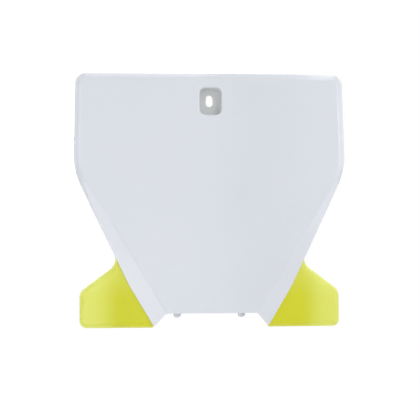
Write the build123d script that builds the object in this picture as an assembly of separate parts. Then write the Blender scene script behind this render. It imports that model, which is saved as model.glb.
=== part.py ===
from build123d import *
from math import hypot, radians, tan
import os

# Number board of an off-road racing motorcycle, in millimetres.
# X runs to the right of someone who looks at the board's face, Y runs backwards into the
# motorcycle, Z runs up. The origin is the middle of the screw slot, on the seat behind it.

# Face and rim of the white board
WALL = 2.5
TOP_RISE = 26.0
TOP_TAPER = 2.1
TOP_CORNER_RADIUS = 11.0
KNEE_HALF = 129.3
KNEE_DROP = 66.3
KNEE_RADIUS = 65.0
BOTTOM_DROP = 201.2
FOOT_HALF = 43.2
RIM_RADIUS = 7.0
RIM_LAND = 1.0

# Fold that turns the lower corners back
FOLD_HEAD_WIDTH = 5.4
FOLD_FOOT_WIDTH = 21.5
FOLD_ANGLE = 24.0
CREASE_RADIUS = 9.0

# Notch in the bottom edge, between the two tips
NOTCH_RADIUS = 5.0
TIP_SPREAD = 10.3
TIP_HEIGHT = 11.3

# Pocket for the head of the fixing screw
POCKET_WIDTH = 20.6
POCKET_HEIGHT = 25.7
POCKET_DROP = 1.3
POCKET_CORNER_RADIUS = 5.5
POCKET_DEPTH = 12.0
POCKET_FLOOR = 3.0
POCKET_DRAFT = 4.0
POCKET_LIP_RADIUS = 2.0
SLOT_WIDTH = 6.5
SLOT_LENGTH = 11.0
RIB_WIDTH = 2.0
RIB_SPACING = 16.0

# Shelf behind the bottom edge, with the two pegs that drop into the mudguard
SHELF_HEIGHT = 12.0
SHELF_WALL = 3.0
SHELF_REACH = 30.0
SHELF_MARGIN = 9.0
SHELF_CORNER_RADIUS = 6.0
GUSSET_HEIGHT = 26.0
PEG_RADIUS = 3.5
PEG_SPACING = 61.6
PEG_SETBACK = 24.0
PEG_PROUD = 4.0
PEG_TIP_RADIUS = 2.5

# Yellow wings that cover the fork legs
WING_SEAT_DEPTH = 8.0
SEAM_STEP = 1.0
WING_WALL = 2.5
WING_TUCK = 5.7
WING_DROOP = 1.9
WING_SIDE_HEIGHT = 34.2
WING_SHOULDER_HEIGHT = 24.9
WING_NECK_HEIGHT = 7.0
WING_TOP_LAP = 2.5
WING_ROOT_RADIUS = 12.0
WING_KNEE_RADIUS = 10.0
WING_CORNER_RADIUS = 6.5
WING_LAP = 12.0
WING_BEND_WIDTH = 30.6
WING_BEND_RADIUS = 110.0
WING_FLANGE = 7.0
WING_EDGE_RADIUS = 5.5
SEAM_GAP = 0.3

# Levels and planes that follow from the sizes above
FACE_Y = -(POCKET_DEPTH + POCKET_FLOOR)
WING_SEAT_Y = FACE_Y + WING_SEAT_DEPTH
RIM_BACK_Y = WING_SEAT_Y + RIM_LAND
SHELF_Z = SHELF_HEIGHT - BOTTOM_DROP
TIP_Z = -BOTTOM_DROP - TIP_HEIGHT
WING_BOTTOM_Z = TIP_Z - WING_DROOP
WING_KNEE_Z = WING_BOTTOM_Z + WING_SIDE_HEIGHT
WING_ROOT_Z = WING_KNEE_Z + WING_SHOULDER_HEIGHT
WING_NECK_Z = WING_ROOT_Z + WING_NECK_HEIGHT
WING_TOP_Z = WING_NECK_Z + WING_TOP_LAP
WING_HALF = KNEE_HALF - WING_TUCK
FOOT_Z = WING_BOTTOM_Z - WING_LAP
SPAN = KNEE_HALF + BOTTOM_DROP
LEAST_RADIUS = WALL / 10


def slant_x(foot_half, knee_half, z):
    """Half width at height z of a straight line from the bottom edge up to the knee."""
    rise = (z + BOTTOM_DROP) / (BOTTOM_DROP - KNEE_DROP)
    return foot_half + (knee_half - foot_half) * rise


def lower_edge_x(z):
    """Half width of the board's slanted lower edge at height z."""
    return slant_x(FOOT_HALF + FOLD_FOOT_WIDTH, KNEE_HALF, z)


def crease_x(z):
    """Half width of the fold line at height z."""
    return slant_x(FOOT_HALF, KNEE_HALF - FOLD_HEAD_WIDTH, z)


def crease_lean():
    """How much wider the fold line gets for each millimetre of height."""
    return crease_x(1) - crease_x(0)


def seam_x(z):
    """Half width of the line where the folded corner ends, a step above the wing."""
    fold_width = (WING_SEAT_DEPTH - SEAM_STEP) / tan(radians(FOLD_ANGLE))
    return crease_x(z) + fold_width * hypot(1, crease_lean())


def tip_x(z):
    """Half width of the notch's slanted side at height z."""
    return FOOT_HALF - (z + BOTTOM_DROP) * TIP_SPREAD / TIP_HEIGHT


def crossing(first, second):
    """Height at which two straight lines, each a half width by height, meet."""
    start = first(0) - second(0)
    return start * SPAN / (start - first(SPAN) + second(SPAN))


def thinner(radius, wall):
    """Radius on the inside of a wall that has this radius outside."""
    return max(radius - wall, LEAST_RADIUS)


def slab(face, front_y, back_y):
    """Sweep an outline of the front view from one depth to another."""
    return extrude(Plane.XZ.offset(-back_y) * face, back_y - front_y)


def pair(solid):
    """A solid and its mirror image on the other side of the board."""
    return solid + mirror(solid, about=Plane.YZ)


def board_outline(inset):
    """Front view of the board down to a foot that the bottom trim removes."""
    corners = [
        (TOP_TAPER - KNEE_HALF, TOP_RISE),
        (KNEE_HALF - TOP_TAPER, TOP_RISE),
        (KNEE_HALF, -KNEE_DROP),
        (lower_edge_x(FOOT_Z), FOOT_Z),
        (-lower_edge_x(FOOT_Z), FOOT_Z),
        (-KNEE_HALF, -KNEE_DROP),
    ]
    face = make_face(Polyline(*corners, close=True))
    face = fillet(face.vertices().group_by(Axis.Y)[-1], TOP_CORNER_RADIUS)
    face = fillet(face.vertices().group_by(Axis.Y)[1], KNEE_RADIUS)
    return offset(face, -inset, kind=Kind.INTERSECTION) if inset else face


def fold_wedge(inset):
    """What the fold takes off the right corner, in front of its rounded crease and its slope."""
    angle = radians(FOLD_ANGLE)
    radius = thinner(CREASE_RADIUS, inset)
    start = (-CREASE_RADIUS * tan(angle / 2), inset)
    crease = CenterArc((start[0], inset + radius), radius, -90, FOLD_ANGLE)
    slope = Line(crease @ 1, crease @ 1 + Vector(SPAN, SPAN * tan(angle)))
    front = Polyline(slope @ 1, (SPAN, -SPAN), (start[0], -SPAN), start)
    across = Vector(1, 0, -crease_lean())
    along = Vector(crease_lean(), 0, 1)
    section = Plane((FOOT_HALF, FACE_Y, -BOTTOM_DROP), x_dir=across, z_dir=along)
    return extrude(section * make_face(crease + slope + front), SPAN, both=True)


def board_block(inset, back_y):
    """Solid with the board's outer form, shrunk by the inset on every side."""
    block = slab(board_outline(inset), FACE_Y + inset, back_y)
    rim = block.faces().sort_by(Axis.Y)[0].edges().sort_by(Axis.Z)[1:]
    block = fillet(rim, thinner(RIM_RADIUS, inset))
    return block - pair(fold_wedge(inset))


def bottom_trim():
    """What the notch and the tips leave away below the board."""
    tip = (FOOT_HALF + TIP_SPREAD, TIP_Z)
    half = [(FOOT_HALF, -BOTTOM_DROP), tip, (SPAN, TIP_Z), (SPAN, -2 * SPAN)]
    other = [(-x, z) for x, z in reversed(half)]
    face = make_face(Polyline(*half, *other, close=True))
    face = fillet(face.vertices().group_by(Axis.Y)[-1], NOTCH_RADIUS)
    return slab(face, -SPAN, SPAN)


def lap_x(z):
    """Half width of the wing's hidden inner side at height z."""
    return lower_edge_x(z) - WING_LAP


def beside(line, gap, top):
    """Area of the front view to the right of a slanted line, and of a gap before it."""
    corners = [
        (line(top) - gap, top),
        (line(top) + SPAN, top),
        (line(top) + SPAN, FOOT_Z),
        (line(FOOT_Z) - gap, FOOT_Z),
    ]
    return make_face(Polyline(*corners, close=True))


def wing_room():
    """Space that the right wing takes from the board: its lap, and all beyond the seam."""
    lap = slab(beside(lap_x, SEAM_GAP, WING_TOP_Z + SEAM_GAP), WING_SEAT_Y, SPAN)
    return lap + slab(beside(seam_x, 0, TOP_RISE), -SPAN, SPAN)


def pocket_outline(growth):
    """Rounded rectangle of the screw pocket's mouth, grown all round."""
    width = POCKET_WIDTH + 2 * growth
    height = POCKET_HEIGHT + 2 * growth
    return Pos(0, -POCKET_DROP) * RectangleRounded(width, height, POCKET_CORNER_RADIUS + growth)


def pocket_boss():
    """Box behind the face that holds the screw pocket, with two ribs up to the rim."""
    boss = slab(pocket_outline(WALL), FACE_Y + WALL / 2, 0)
    ribs = Pos(0, TOP_RISE / 2) * GridLocations(RIB_SPACING, 0, 2, 1) * Rectangle(RIB_WIDTH, TOP_RISE)
    return boss + (slab(Sketch() + ribs, FACE_Y, RIM_BACK_Y) & board_block(WALL / 2, RIM_BACK_Y))


def screw_slot():
    """Upright slot through the pocket's floor."""
    return slab(Rot(0, 0, 90) * SlotOverall(SLOT_LENGTH, SLOT_WIDTH), FACE_Y, SPAN)


def pocket_hollow():
    """Drafted hollow of the pocket, widest at its mouth."""
    mouth = Plane.XZ.offset(-FACE_Y) * pocket_outline(0)
    return extrude(mouth, -POCKET_DEPTH, taper=POCKET_DRAFT)


def shelf():
    """Shelf across the back, with a gusset over each peg."""
    skin_y = FACE_Y + WALL / 2
    back_y = FACE_Y + SHELF_REACH
    half = PEG_SPACING / 2 + SHELF_MARGIN
    plate = Pos(0, SHELF_Z + SHELF_WALL / 2) * Rectangle(2 * half, SHELF_WALL)
    solid = slab(plate, skin_y, back_y)
    rear_corners = solid.edges().filter_by(Axis.Z).group_by(Axis.Y)[-1]
    solid = fillet(rear_corners, SHELF_CORNER_RADIUS)
    corners = [(skin_y, SHELF_Z), (back_y, SHELF_Z), (skin_y, SHELF_Z + SHELF_WALL + GUSSET_HEIGHT)]
    web = make_face(Polyline(*corners, close=True))
    for side in (-1, 1):
        solid += extrude(Plane.YZ.offset(side * PEG_SPACING / 2) * web, RIB_WIDTH / 2, both=True)
    return solid


def peg():
    """Round peg under the right end of the shelf, with a rounded tip."""
    length = SHELF_HEIGHT + PEG_PROUD + SHELF_WALL / 2
    pin = Cylinder(PEG_RADIUS, length, align=(Align.CENTER, Align.CENTER, Align.MIN))
    pin = fillet(pin.edges().sort_by(Axis.Z)[0], PEG_TIP_RADIUS)
    return Pos(PEG_SPACING / 2, FACE_Y + PEG_SETBACK, -BOTTOM_DROP - PEG_PROUD) * pin


def number_board():
    """The white moulding."""
    board = board_block(0, RIM_BACK_Y) - board_block(WALL, RIM_BACK_Y + WALL)
    board += pocket_boss()
    board -= bottom_trim()
    board -= pair(wing_room())
    board -= pocket_hollow()
    mouth = board.edges().filter_by_position(Axis.Y, FACE_Y, FACE_Y)
    mouth = mouth.filter_by_position(Axis.X, -POCKET_WIDTH, POCKET_WIDTH)
    mouth = mouth.filter_by_position(Axis.Z, -POCKET_HEIGHT, POCKET_HEIGHT)
    board = fillet(mouth, POCKET_LIP_RADIUS)
    board -= screw_slot()
    return board + shelf() + pair(peg())


def wing_outline(inset):
    """Front view of the right wing. With an inset, its hidden inner sides stay open."""
    spill = 2 * inset
    root_x = lower_edge_x(WING_NECK_Z) - inset
    outer_x = WING_HALF - inset
    bottom_z = WING_BOTTOM_Z + inset
    slope = WING_SHOULDER_HEIGHT / (outer_x - root_x)
    sink = inset * (hypot(1, slope) - slope)
    knee_z = WING_KNEE_Z - sink
    root_z = WING_ROOT_Z - sink

    def side_x(z):
        return lap_x(z) - spill

    def end_x(z):
        return tip_x(z) + SEAM_GAP - spill

    inner_z = crossing(side_x, end_x)
    rounded = [
        ((root_x, root_z), WING_ROOT_RADIUS + inset),
        ((outer_x, knee_z), thinner(WING_KNEE_RADIUS, inset)),
        ((outer_x, bottom_z), thinner(WING_CORNER_RADIUS, inset)),
    ]
    sharp = [
        (end_x(bottom_z), bottom_z),
        (side_x(inner_z), inner_z),
        (side_x(WING_TOP_Z + spill), WING_TOP_Z + spill),
        (root_x, WING_TOP_Z + spill),
    ]
    face = make_face(Polyline(*[corner for corner, radius in rounded], *sharp, close=True))
    for corner, radius in rounded:
        face = fillet(face.vertices().sort_by_distance(corner)[0], radius)
    return face


def wing_skin(front, back):
    """Prism between two depths under the right wing's surface, flat and then a quarter round."""
    bend_x = WING_HALF - WING_BEND_WIDTH
    centre = (bend_x, WING_SEAT_Y + WING_BEND_RADIUS)

    def surface(depth):
        y = WING_SEAT_Y + depth
        flat = Line((0, y), (bend_x, y))
        return flat + CenterArc(centre, WING_BEND_RADIUS - depth, -90, 90)

    near = surface(front)
    far = surface(back)
    outer = Line(near.vertices().sort_by(Axis.X)[-1], far.vertices().sort_by(Axis.X)[-1])
    inner = Line((0, WING_SEAT_Y + front), (0, WING_SEAT_Y + back))
    return extrude(make_face(near + outer + far + inner), 2 * SPAN, both=True)


def wing_block(inset, front, back):
    """Right wing's outer form between two depths under its surface, with its edge rounded."""
    prism = slab(wing_outline(inset), WING_SEAT_Y - WALL, SPAN)
    block = prism & wing_skin(front, back)
    outer_wall = block.faces().sort_by(Axis.X)[-1]
    front_edge = outer_wall.edges().sort_by(Axis.Y)[0]
    return fillet(front_edge, thinner(WING_EDGE_RADIUS, inset))


def right_wing():
    """A shell with its edges rolled back into a flange."""
    outer = wing_block(0, 0, WING_FLANGE)
    inner = wing_block(WING_WALL, WING_WALL, 2 * WING_FLANGE)
    return outer - inner


os.makedirs("parts", exist_ok=True)
wing = right_wing()
nodes = {
    "number_board": number_board(),
    "right_wing": wing,
    "left_wing": mirror(wing, about=Plane.YZ),
}
for name, solid in nodes.items():
    export_step(solid, f"parts/{name}.step")
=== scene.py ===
# %% [markdown]
# # A racing number board
# This lesson dresses the front number board of an off-road motorcycle: a gloss white
# moulding with a rolled rim, folded lower corners and a screw pocket, and two yellow wings
# that guard the fork legs. The shapes come as finished solids, so nothing is modelled
# again here. The work goes into the two plastics, the light and the camera.

# %% Load the solids
import math

import bpy
from mathutils import Matrix, Vector


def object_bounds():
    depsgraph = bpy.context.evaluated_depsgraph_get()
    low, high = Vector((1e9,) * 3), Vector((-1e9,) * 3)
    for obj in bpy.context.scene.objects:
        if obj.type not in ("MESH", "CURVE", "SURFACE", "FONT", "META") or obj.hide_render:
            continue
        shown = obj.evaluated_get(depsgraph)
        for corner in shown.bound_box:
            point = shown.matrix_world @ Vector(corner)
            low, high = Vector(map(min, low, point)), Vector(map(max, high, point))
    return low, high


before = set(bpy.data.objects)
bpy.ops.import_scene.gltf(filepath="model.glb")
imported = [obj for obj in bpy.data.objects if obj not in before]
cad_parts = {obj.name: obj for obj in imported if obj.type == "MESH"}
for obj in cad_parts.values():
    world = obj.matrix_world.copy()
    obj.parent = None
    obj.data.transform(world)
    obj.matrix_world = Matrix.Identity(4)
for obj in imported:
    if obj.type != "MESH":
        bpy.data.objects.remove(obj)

scene = bpy.context.scene
cad_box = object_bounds()
print("solids:", sorted(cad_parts))
print("box in mm:", [[round(1000 * v, 1) for v in corner] for corner in cad_box])

# %% [markdown]
# ## Shader maths as Python
# A material is a graph of nodes. It could be drawn by hand in the shader editor, or written
# link by link, but neither is easy to read afterwards. One small class wraps an output
# socket instead, so that `1 - mask` or `a * b` adds the Math node that does it. A blend of
# two colours is a Mix node, and every other node comes from the one method `node`, which
# takes the settings first and then the value or the link of each socket.

# %% A socket with operators
class Wire:
    """An output socket of a node tree, on which sums and products add Math nodes."""

    def __init__(self, socket):
        self.socket = socket

    @staticmethod
    def node(tree, kind, settings=None, inputs=None, output=0):
        """Adds one node: its settings first, then the value or link of each socket."""
        made = tree.nodes.new(kind)
        for name, value in (settings or {}).items():
            setattr(made, name, value)
        for name, value in (inputs or {}).items():
            if isinstance(value, Wire):
                tree.links.new(value.socket, made.inputs[name])
            else:
                made.inputs[name].default_value = value
        return Wire(made.outputs[output]) if made.outputs else None

    def then(self, kind, settings, inputs, output=0):
        """Adds one node to the tree that this socket is in."""
        return Wire.node(self.socket.id_data, kind, settings, inputs, output)

    def math(self, operation, *terms):
        return self.then("ShaderNodeMath", {"operation": operation}, dict(enumerate(terms)))

    def __add__(self, other):
        return self.math("ADD", self, other)

    def __sub__(self, other):
        return self.math("SUBTRACT", self, other)

    def __rsub__(self, other):
        return self.math("SUBTRACT", other, self)

    def __mul__(self, other):
        return self.math("MULTIPLY", self, other)

    def __abs__(self):
        return self.math("ABSOLUTE", self)

    __radd__ = __add__
    __rmul__ = __mul__

    def rise(self, start, end):
        """0 at start, 1 at end, and a smooth slope between them."""
        return self.then("ShaderNodeMapRange", {"interpolation_type": "SMOOTHSTEP"},
                         {"Value": self, "From Min": start, "From Max": end})

    def tint(self, low, high):
        """A colour that goes from low to high as this value goes from 0 to 1."""
        return self.then("ShaderNodeMix", {"data_type": "RGBA"},
                         {0: self, 6: low, 7: high}, output=2)


print("operators ready:", [name for name in vars(Wire) if not name.startswith("__")])

# %% [markdown]
# ## Colours
# The white of race plastics is slightly blue. The yellow is a bright greenish one, and a paler
# yellow is painted on as light where the wings turn out to the lamps. A greyer white is
# painted shade in the screw pocket. A colour picked on a screen is stored on a curve, and a
# shader wants plain light. The colours could be written as plain light, but nobody reads such
# numbers as colours. A helper turns the one into the other, so that the colours below can be
# read as on a screen.

# %% Colours as seen on a screen
def screen_colour(red, green, blue):
    """The shader's colour for a screen colour of 0 to 255 in each channel."""
    def light(level):
        # the standard curve of screens: straight near black, a power above it
        level = level / 255
        return level / 12.92 if level <= 0.04045 else ((level + 0.055) / 1.055) ** 2.4
    return (light(red), light(green), light(blue), 1.0)


COOL_WHITE = screen_colour(219, 222, 230)
PALE_WHITE = screen_colour(221, 225, 231)
# painted shade: a greyer, less blue white for the dim screw pocket
POCKET_PAINTED_SHADE = screen_colour(217, 218, 218)
RUBBED_WHITE = screen_colour(213, 216, 220)
LEMON = screen_colour(212, 211, 18)
LIME = screen_colour(206, 208, 16)
# painted light: a paler yellow for where the wings turn out to the light
PAINTED_LIGHT_LEMON = screen_colour(226, 231, 104)
print("white in plain light:", [round(c, 3) for c in COOL_WHITE[:3]])

# %% [markdown]
# ## What both plastics share
# Both colours are polypropylene from one polished mould. Seen close, such a moulding is
# never one flat colour: the pigment drifts over a few centimetres, the skin has the faint
# ripple called orange peel, hairline scuffs catch the light, and gloves and straps rub the
# turned edges. The hidden side keeps the matt grain of an unpolished mould. Such wear is
# often painted on an unwrapped picture. Here the masks are worked out from the place on the
# part and from the direction that the skin faces, so they need no unwrapping and stay sharp
# from near by. All lengths are in metres, a band is where a mask starts and where it is
# full, and a share says how much a mask counts.

# %% Masks that both finishes use
GRAIN = 0.0006
SCUFF_WIDTH = 0.0011
SCUFF_STRETCH = (1.0, 1.0, 0.03)
RELIEF = 0.0001
PEEL_SHARE = 0.03
SCUFF_SHARE = 0.02
DRIFT_DULLS = 0.03
SCUFF_DULLS = 0.06
PLASTIC_IOR = 1.5
BACK_BAND = (0.15, -0.25)
TURNED_BAND = (0.97, 0.55)
DRIFT_BAND = (0.3, 0.7)
SCUFF_BAND = (0.70, 0.76)
LUMP_AT_SCALE_1 = 0.5


class Skin:
    """A material under way: its node tree, and the masks that a moulded skin needs."""

    def __init__(self, name):
        self.material = bpy.data.materials.new(name)
        self.material.use_nodes = True
        self.tree = self.material.node_tree
        self.tree.nodes.clear()
        self.place = self.node("ShaderNodeTexCoord", output="Object")
        normal = self.node("ShaderNodeTexCoord", output="Normal")
        self.x, self.y, self.z = [self.axis(self.place, letter) for letter in "XYZ"]
        facing = 0 - self.axis(normal, "Y")
        self.back = facing.rise(*BACK_BAND)
        self.turned = facing.rise(*TURNED_BAND) * (1 - self.back)

    def node(self, kind, settings=None, inputs=None, output=0):
        return Wire.node(self.tree, kind, settings, inputs, output)

    def axis(self, vector, letter):
        """One coordinate of a vector."""
        return self.node("ShaderNodeSeparateXYZ", None, {0: vector}, letter)

    def noise(self, size, detail=2.0, stretch=(1, 1, 1), turn=0.0):
        """Smooth noise whose lumps are about size metres across."""
        scale = LUMP_AT_SCALE_1 / size
        placed = self.node("ShaderNodeMapping", None,
                           {"Vector": self.place, "Rotation": (0, turn, 0), "Scale": stretch})
        return self.node("ShaderNodeTexNoise", None,
                         {"Vector": placed, "Scale": scale, "Detail": detail}, "Fac")

    def scuffs(self, *turns):
        """Rare thin scratches, long in each of these directions across the face."""
        lines = [self.noise(SCUFF_WIDTH, 1.0, SCUFF_STRETCH, turn).rise(*SCUFF_BAND)
                 for turn in turns]
        return sum(lines[1:], lines[0])

    def finish(self, colour, roughness, peel, scuffs):
        """Puts the plastic together, with its orange peel, its scuffs and its grained back."""
        relief = peel * PEEL_SHARE * (1 - self.back) + self.noise(GRAIN) * self.back
        height = relief - scuffs * SCUFF_SHARE
        bump = self.node("ShaderNodeBump", None,
                         {"Height": height, "Strength": 1.0, "Distance": RELIEF})
        plastic = self.node("ShaderNodeBsdfPrincipled", None,
                            {"Base Color": colour, "Roughness": roughness, "Normal": bump,
                             "IOR": PLASTIC_IOR})
        self.node("ShaderNodeOutputMaterial", None, {"Surface": plastic})
        print(self.material.name, "has", len(self.tree.nodes), "nodes")
        return self.material


print("skin ready:", [name for name in vars(Skin) if not name.startswith("__")])

# %% [markdown]
# ## The white plastic
# The face is gloss. Its rolled rim and its creases are where gloves, tape and straps rub,
# which burnishes them and leaves some patches greyer and duller, so they mirror a panel more
# sharply than the face does. The back and the screw pocket come from parts of the mould that
# nobody polished. The pocket is also painted a greyer, less blue white, which is painted shade
# for the dim recess. They could have materials of their own, on faces that are picked by hand,
# but a mask keeps one plastic in one material. The pocket is found by its place: behind the
# face, and inside the rectangle of its mouth.

# %% White gloss plastic
FACE_Y = cad_box[0].y
POCKET_Z = -0.0013
POCKET_HALF_WIDTH = 0.0115
POCKET_HALF_HEIGHT = 0.0140
POCKET_SUNK_BAND = (0.0015, 0.0040)
POCKET_EDGE = 0.001
WHITE_DRIFT_SIZE = 0.045
WHITE_RUB_SIZE = 0.006
WHITE_RUB_BAND = (0.42, 0.72)
WHITE_PEEL_SIZE = 0.0035
WHITE_SCUFF_TURNS = (0.6, -0.9)
SPECK_SIZE = 0.0009
SPECK_BAND = (0.45, 0.75)
WHITE_ROUGHNESS = 0.09
BURNISH = 0.06
WHITE_RUB_DULLS = 0.03
WHITE_MATT = 0.34
RUB_GREYS = 0.6
SPECK_GREYS = 0.12


def white_gloss_plastic():
    skin = Skin("white_gloss_plastic")
    drift = skin.noise(WHITE_DRIFT_SIZE, detail=3.0).rise(*DRIFT_BAND)
    speck = skin.noise(SPECK_SIZE).rise(*SPECK_BAND)
    scuffs = skin.scuffs(*WHITE_SCUFF_TURNS)
    rub = skin.turned * skin.noise(WHITE_RUB_SIZE, detail=4.0).rise(*WHITE_RUB_BAND)
    inside_x = abs(skin.x).rise(POCKET_HALF_WIDTH + POCKET_EDGE, POCKET_HALF_WIDTH - POCKET_EDGE)
    inside_z = abs(skin.z - POCKET_Z).rise(POCKET_HALF_HEIGHT + POCKET_EDGE,
                                           POCKET_HALF_HEIGHT - POCKET_EDGE)
    behind_face = (skin.y - FACE_Y).rise(*POCKET_SUNK_BAND)
    sunk = behind_face * inside_x * inside_z * (1 - skin.back)
    colour = drift.tint(COOL_WHITE, PALE_WHITE)
    colour = (rub * RUB_GREYS + speck * SPECK_GREYS).tint(colour, RUBBED_WHITE)
    # painted shade: the pocket's faces get a greyer, less blue white for the dim recess
    colour = sunk.tint(colour, POCKET_PAINTED_SHADE)
    roughness = WHITE_ROUGHNESS + drift * DRIFT_DULLS + scuffs * SCUFF_DULLS
    roughness = roughness - skin.turned * BURNISH + rub * WHITE_RUB_DULLS
    roughness = roughness + (skin.back + sunk) * WHITE_MATT
    return skin.finish(colour, roughness, skin.noise(WHITE_PEEL_SIZE), scuffs)


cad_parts["number_board"].material_slots[0].material = white_gloss_plastic()

# %% [markdown]
# ## The yellow plastic
# The wings are moulded from a softer, slightly less glossy grade. They bend back towards
# their outer edge. Their colour is painted paler outwards, where the bend turns out to the
# light, and up towards the root: painted light. The rolled edges get a little of it too, as
# a painted sheen, and the deeper yellow that is left next to the board is painted shade.

# %% Yellow gloss plastic
BEND_BAND = (0.084, 0.110)
ROOT_BAND = (-0.190, -0.155)
# shares of painted light: outwards, up towards the root, and as a sheen on the rolled edges
OUTWARD_PAINTED_LIGHT = 0.75
UPWARD_PAINTED_LIGHT = 0.5
EDGE_PAINTED_SHEEN = 0.2
YELLOW_DRIFT_SIZE = 0.03
YELLOW_RUB_SIZE = 0.005
YELLOW_RUB_BAND = (0.40, 0.72)
YELLOW_PEEL_SIZE = 0.003
YELLOW_SCUFF_TURNS = (0.4, -1.1)
YELLOW_ROUGHNESS = 0.20
YELLOW_RUB_DULLS = 0.08
YELLOW_MATT = 0.32


def yellow_gloss_plastic():
    skin = Skin("yellow_gloss_plastic")
    drift = skin.noise(YELLOW_DRIFT_SIZE, detail=3.0).rise(*DRIFT_BAND)
    scuffs = skin.scuffs(*YELLOW_SCUFF_TURNS)
    rub = skin.turned * skin.noise(YELLOW_RUB_SIZE, detail=4.0).rise(*YELLOW_RUB_BAND)
    outward = abs(skin.x).rise(*BEND_BAND)
    upward = skin.z.rise(*ROOT_BAND)
    # painted light: paler outwards, up towards the root and on the rolled edges; the deeper yellow
    # left inside is painted shade
    painted_light = outward * OUTWARD_PAINTED_LIGHT + upward * UPWARD_PAINTED_LIGHT + skin.turned * EDGE_PAINTED_SHEEN
    colour = drift.tint(LEMON, LIME)
    colour = painted_light.tint(colour, PAINTED_LIGHT_LEMON)
    roughness = YELLOW_ROUGHNESS + drift * DRIFT_DULLS + scuffs * SCUFF_DULLS
    roughness = roughness + rub * YELLOW_RUB_DULLS + skin.back * YELLOW_MATT
    return skin.finish(colour, roughness, skin.noise(YELLOW_PEEL_SIZE), scuffs)


yellow = yellow_gloss_plastic()
for wing in ("left_wing", "right_wing"):
    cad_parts[wing].material_slots[0].material = yellow

# %% [markdown]
# ## The floor
# The board is shown on white, as in a catalogue. More lamps would make the floor white, but
# they would bleach the board too. So the camera and the gloss see the floor at full white,
# while the light that it gives to the board stays at a plain level: the Light Path node
# tells the two kinds of rays apart. A share of what the camera sees is ordinary matt paint,
# which keeps the board's shadow.

# %% White floor
FLOOR_GAP = 0.30
FLOOR_HALF = 6.0
FLOOR_PAINT = (0.9, 0.9, 0.9, 1.0)
FLOOR_GLOW = 0.96
FLOOR_SHADE = (0.35, 0.35, 0.35, 1.0)


def shown_rays(tree):
    """1 for rays that show the background: from the camera, by gloss or through glass."""
    camera_ray, glossy_ray, glass_ray = [
        Wire.node(tree, "ShaderNodeLightPath", output=name)
        for name in ("Is Camera Ray", "Is Glossy Ray", "Is Transmission Ray")]
    return (camera_ray + glossy_ray + glass_ray).rise(0.0, 1.0)


floor_z = cad_box[0].z - FLOOR_GAP
square = ((-1, -1), (1, -1), (1, 1), (-1, 1))
floor_mesh = bpy.data.meshes.new("floor")
floor_mesh.from_pydata([(FLOOR_HALF * x, FLOOR_HALF * y, floor_z) for x, y in square],
                       [], [(0, 1, 2, 3)])
floor = bpy.data.objects.new("floor", floor_mesh)
scene.collection.objects.link(floor)

paint = bpy.data.materials.new("floor_paint")
paint.use_nodes = True
tree = paint.node_tree
tree.nodes.clear()
matt = Wire.node(tree, "ShaderNodeBsdfDiffuse", None, {"Color": FLOOR_PAINT})
shade = Wire.node(tree, "ShaderNodeBsdfDiffuse", None, {"Color": FLOOR_SHADE})
glow = Wire.node(tree, "ShaderNodeEmission", None, {"Strength": FLOOR_GLOW})
shown = Wire.node(tree, "ShaderNodeAddShader", None, {0: glow, 1: shade})
painted = Wire.node(tree, "ShaderNodeMixShader", None, {0: shown_rays(tree), 1: matt, 2: shown})
Wire.node(tree, "ShaderNodeOutputMaterial", None, {"Surface": painted})
floor_mesh.materials.append(paint)
print("floor at", round(floor_z, 3), "m")

# %% [markdown]
# ## The backdrop
# Past the floor the camera sees the world. It is split in the same way: full white where it
# is seen or mirrored, and for all other rays a weak and slightly blue light, which fills
# the shadows that the panels leave.

# %% White world
WORLD_TONE = (0.95, 0.98, 1.04, 1.0)
WORLD_STRENGTH = 0.11
WHITE = (1.0, 1.0, 1.0, 1.0)

world = bpy.data.worlds.new("studio")
scene.world = world
world.use_nodes = True
tree = world.node_tree
tree.nodes.clear()
ambient = Wire.node(tree, "ShaderNodeBackground", None,
                    {"Color": WORLD_TONE, "Strength": WORLD_STRENGTH})
backdrop = Wire.node(tree, "ShaderNodeBackground", None, {"Color": WHITE, "Strength": 1.0})
sky = Wire.node(tree, "ShaderNodeMixShader", None,
                {0: shown_rays(tree), 1: ambient, 2: backdrop})
Wire.node(tree, "ShaderNodeOutputWorld", None, {"Surface": sky})
print("world", world.name, "has", len(tree.nodes), "nodes")

# %% [markdown]
# ## A soft panel
# A gloss board mirrors whatever stands around it. Small lamps would show as hard spots, so
# it is lit like silverware, in a tent of large soft panels. Directions are as seen from the
# board: azimuth 0 is straight in front and positive to the right, and elevation 90 is
# straight up. Brightness 1 is as bright as the white backdrop.

# %% Directions and panels
PLAIN = (1.0, 1.0, 1.0)


def direction(azimuth, elevation):
    """The unit vector from the board towards an azimuth and elevation in degrees."""
    around = math.radians(azimuth)
    up = math.radians(elevation)
    return Vector((math.sin(around) * math.cos(up), -math.cos(around) * math.cos(up), math.sin(up)))


def turned_to(azimuth, elevation):
    """The rotation of a panel or camera that stands at a direction and looks back along it."""
    back = direction(azimuth, elevation)
    right = direction(azimuth + 90, 0)
    return Matrix((right, back.cross(right), back)).transposed()


def soft_panel(name, middle, azimuth, elevation, width, height, brightness, tone=PLAIN):
    """Adds one rectangular panel that looks back along the direction it stands at."""
    lamp = bpy.data.lights.new(name, "AREA")
    lamp.shape = "RECTANGLE"
    lamp.size = width
    lamp.size_y = height
    lamp.energy = brightness * math.pi * width * height
    lamp.color = tone
    panel = bpy.data.objects.new(name, lamp)
    panel.matrix_world = Matrix.Translation(middle) @ turned_to(azimuth, elevation).to_4x4()
    panel.visible_camera = False
    scene.collection.objects.link(panel)


print("a panel in front looks along", [round(v) for v in -direction(0, 0)])

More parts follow.
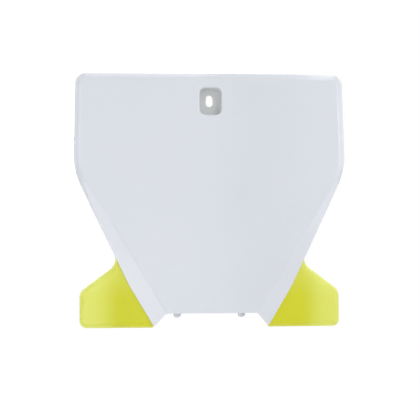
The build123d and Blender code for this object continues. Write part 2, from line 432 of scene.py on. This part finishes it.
# %% [markdown]
# ## The light
# Each panel is placed for one job. Two tall walls in front are mirrored in the face, and the
# gap between them makes its right half a shade cooler. Two strips overhead draw the pale
# line along the top rim and leave its middle plain. One panel high on the right makes the
# end of that line bright, and two corner panels keep the rim pale where it turns down at the
# top corners. The half left and half right panels light the rims, the low ones the folded
# corners, the side ones the outermost edges, and one behind keeps the back from going grey.

# %% Studio panels
GREENISH = (0.95, 1.0, 0.97)
ROSY = (1.0, 0.95, 0.97)

# name, middle in metres, azimuth, elevation, width, height, brightness and tone
soft_panel("wall_left", (-0.316, -2.0, 0.52), 0, 0, 1.17, 1.6, 0.78, GREENISH)
soft_panel("wall_right", (0.611, -2.0, 0.62), 0, 0, 0.378, 1.36, 0.62)
soft_panel("above_left", (-0.05, -0.1, 1.226), 0, 90, 0.404, 2.2, 1.6)
soft_panel("above_right", (0.507, -0.1, 1.226), 0, 90, 0.4, 1.4, 2.8)
soft_panel("high_right", (0.484, -1.181, 0.919), 0, 45, 0.23, 0.95, 4.6)
soft_panel("half_left", (-1.0, -1.28, 0.11), -38, 0, 0.95, 0.42, 2.1)
soft_panel("half_right", (0.90, -1.35, 0.11), 33, 0, 0.8, 0.42, 2.6)
soft_panel("side_left", (-1.30, 0.12, 0.48), -95, 20, 0.9, 1.4, 1.5)
soft_panel("side_right", (1.30, 0.12, 0.48), 95, 20, 0.9, 1.4, 1.3)
soft_panel("corner_left", (-0.946, -0.546, 0.794), -60, 36, 0.42, 0.60, 1.0)
soft_panel("corner_right", (0.949, -0.640, 0.715), 56, 32, 0.65, 0.38, 1.4)
soft_panel("low_left", (-0.42, -0.48, -0.345), -36, -20, 0.4, 0.3, 1.7, ROSY)
soft_panel("low_right", (0.809, -0.554, -0.16), 52, 0, 0.4, 0.52, 1.3)
soft_panel("behind", (0.0, 1.6, 0.5), 180, 18, 1.6, 1.2, 1.9)
watts = sum(lamp.energy for lamp in bpy.data.lights)
print(len(bpy.data.lights), "panels,", round(watts, 1), "W in all")

# %% [markdown]
# ## Camera
# The board was photographed from a little to its left and a little below, from so far away
# that its sides stay almost parallel. A lens could be tried out by eye, but the distance and
# the size on the picture together give it. The camera stands at an angle to one point of
# the board, and then turns a little so that the board sits where it does in the picture.

# %% Camera at the photograph's angle
PICTURE = 420
PIXELS_PER_METRE = 1052.6
VIEW_AZIMUTH = -6.588
VIEW_ELEVATION = -3.388
VIEW_ROLL = -0.45
VIEW_DISTANCE = 1.6205
VIEWED_POINT = Vector((0.0, 0.0, -0.093))
FRAME_MIDDLE = Vector((0.0003, 0.0, -0.1034))

camera_data = bpy.data.cameras.new("camera")
camera_data.lens = camera_data.sensor_width * PIXELS_PER_METRE * VIEW_DISTANCE / PICTURE
camera = bpy.data.objects.new("camera", camera_data)
scene.collection.objects.link(camera)
stand = VIEWED_POINT + direction(VIEW_AZIMUTH, VIEW_ELEVATION) * VIEW_DISTANCE
back = (stand - FRAME_MIDDLE).normalized()
aim_azimuth = math.degrees(math.atan2(back.x, -back.y))
aim_elevation = math.degrees(math.asin(back.z))
roll = Matrix.Rotation(math.radians(VIEW_ROLL), 3, "Z")
turn = turned_to(aim_azimuth, aim_elevation) @ roll
camera.matrix_world = Matrix.Translation(stand) @ turn.to_4x4()
scene.camera = camera
scene.view_settings.view_transform = "Standard"
print("lens", round(camera_data.lens, 1), "mm, camera at", [round(v, 3) for v in stand])

# %% [markdown]
